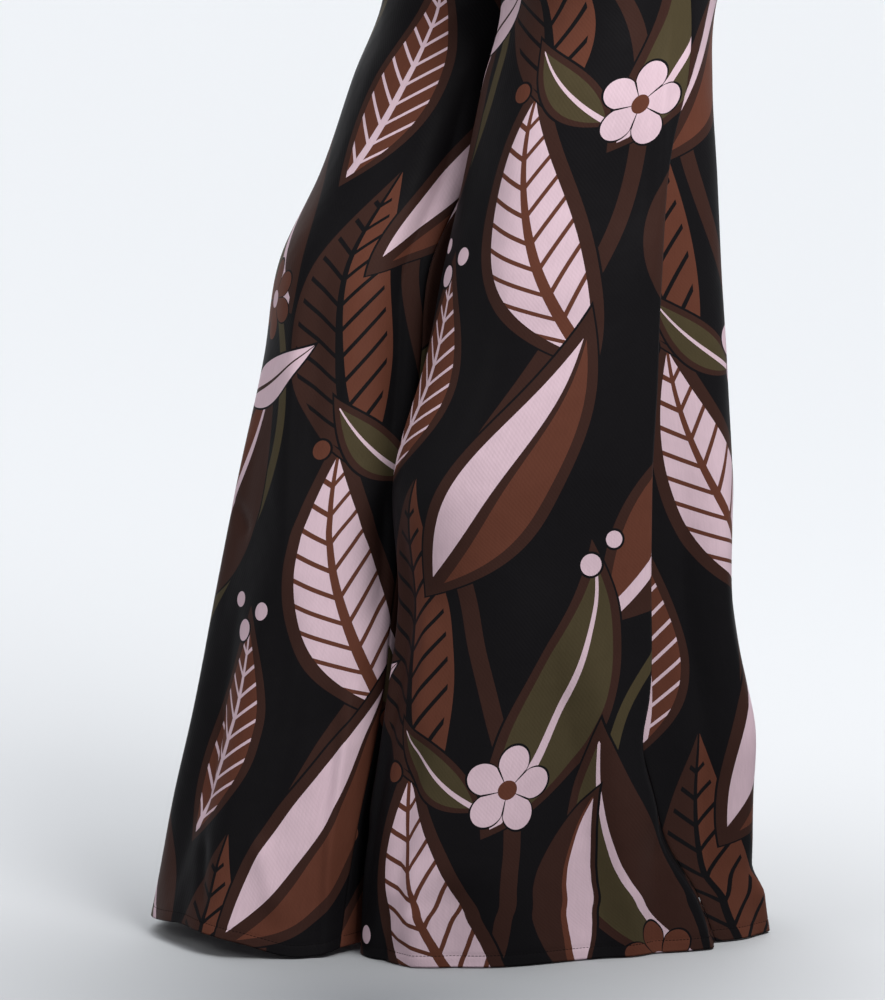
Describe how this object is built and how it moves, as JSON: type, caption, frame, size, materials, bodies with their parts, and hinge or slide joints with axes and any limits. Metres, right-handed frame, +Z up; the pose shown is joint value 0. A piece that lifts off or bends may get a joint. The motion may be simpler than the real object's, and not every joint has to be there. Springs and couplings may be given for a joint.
{
  "type": "palazzo pants",
  "caption": "Wide-leg pull-on palazzo pants in printed silk twill, worn in mid stride: a gathered elastic waistband over two hollow legs that flare to open hems",
  "frame": {"origin": "middle of the waist opening, level with the top edge of the waistband, where the wearer holds the garment up", "axes": "+Z is up, -Y is the wearer's front and +X is the wearer's left"},
  "size_m": [0.3948, 0.494, 1.1192],
  "materials": {
    "printed_silk_twill": "fine silk twill with a soft sheen, printed in near-black, brown, rust, olive and pale pink",
    "waistband_silk_twill": "the same printed silk twill, gathered over an elastic"
  },
  "bodies": {
    "root": {"front_left": "printed_silk_twill", "back_left": "printed_silk_twill", "front_right": "printed_silk_twill", "back_right": "printed_silk_twill", "waistband": "waistband_silk_twill"}
  },
  "joints": []
}
